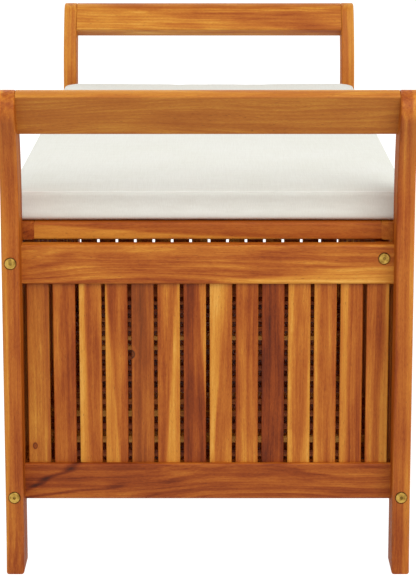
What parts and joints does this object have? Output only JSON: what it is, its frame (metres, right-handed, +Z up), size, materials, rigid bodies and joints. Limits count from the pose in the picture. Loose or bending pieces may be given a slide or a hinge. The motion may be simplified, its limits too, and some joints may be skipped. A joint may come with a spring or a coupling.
{
  "type": "deck storage bench",
  "caption": "Slatted hardwood deck storage bench: a lidded box between curved end frames with leaning arm rails, hinged at the back, with a loose seat cushion.",
  "frame": {"origin": "on the ground, at the middle of the bench's length and width", "axes": "+X along the bench to its right-hand end, -Y towards the front, +Y towards the hinges, +Z up"},
  "size_m": [1.2142, 0.5, 0.606],
  "materials": {
    "acacia": "oiled satin hardwood with strong red and gold variation",
    "cushion_canvas": "off-white woven outdoor canvas",
    "bolt_brass": "antique brass plating, dull",
    "hinge_brass": "brushed brass",
    "zinc_steel": "zinc plated",
    "dowel_wood": "plain turned hardwood",
    "bumper_rubber": "matt rubber"
  },
  "bodies": {
    "frame": {"barrel_nuts": "zinc_steel", "dowels": "dowel_wood", "floor_centre_batten": "acacia", "floor_slats": "acacia", "frame_bolts": "bolt_brass", "front_bottom_rail": "acacia", "front_floor_ledge": "acacia", "front_left_leg": "acacia", "front_right_leg": "acacia", "front_slats": "acacia", "front_top_rail": "acacia", "hinge_box_screws": "hinge_brass", "hinge_rail": "acacia", "left_arm_rail": "acacia", "left_end_bottom_rail": "acacia", "left_end_slats": "acacia", "left_end_top_rail": "acacia", "left_hinge_box_leaf": "hinge_brass", "left_hinge_pin": "hinge_brass", "lid_bumpers": "bumper_rubber", "middle_hinge_box_leaf": "hinge_brass", "middle_hinge_pin": "hinge_brass", "rear_bottom_rail": "acacia", "rear_floor_ledge": "acacia", "rear_left_leg": "acacia", "rear_right_leg": "acacia", "rear_slats": "acacia", "right_arm_rail": "acacia", "right_end_bottom_rail": "acacia", "right_end_slat_01": "acacia", "right_end_slat_02": "acacia", "right_end_slat_03": "acacia", "right_end_slat_04": "acacia", "right_end_slat_05": "acacia", "right_end_slat_06": "acacia", "right_end_slat_07": "acacia", "right_end_slat_08": "acacia", "right_end_slat_09": "acacia", "right_end_slat_10": "acacia", "right_end_slat_11": "acacia", "right_end_slat_12": "acacia", "right_end_slat_13": "acacia", "right_end_slat_14": "acacia", "right_end_top_rail": "acacia", "right_hinge_box_leaf": "hinge_brass", "right_hinge_pin": "hinge_brass"},
    "lid": {"lid_battens": "acacia", "lid_front_rail": "acacia", "lid_left_end_rail": "acacia", "lid_rear_rail": "acacia", "lid_right_end_rail": "acacia", "lid_slats": "acacia", "left_hinge_lid_leaf": "hinge_brass", "middle_hinge_lid_leaf": "hinge_brass", "right_hinge_lid_leaf": "hinge_brass", "hinge_lid_screws": "hinge_brass"},
    "cushion": {"cushion": "cushion_canvas"}
  },
  "joints": [
    {"name": "lid_hinge", "type": "hinge", "parent": "frame", "child": "lid", "pos_m": [0, 0.238, 0.4109], "axis": [-1, 0, 0], "range_deg": [0, 100]},
    {"name": "cushion_lift", "type": "slide", "parent": "lid", "child": "cushion", "axis": [0, 0, 1], "range_m": [0, 0.15]}
  ]
}
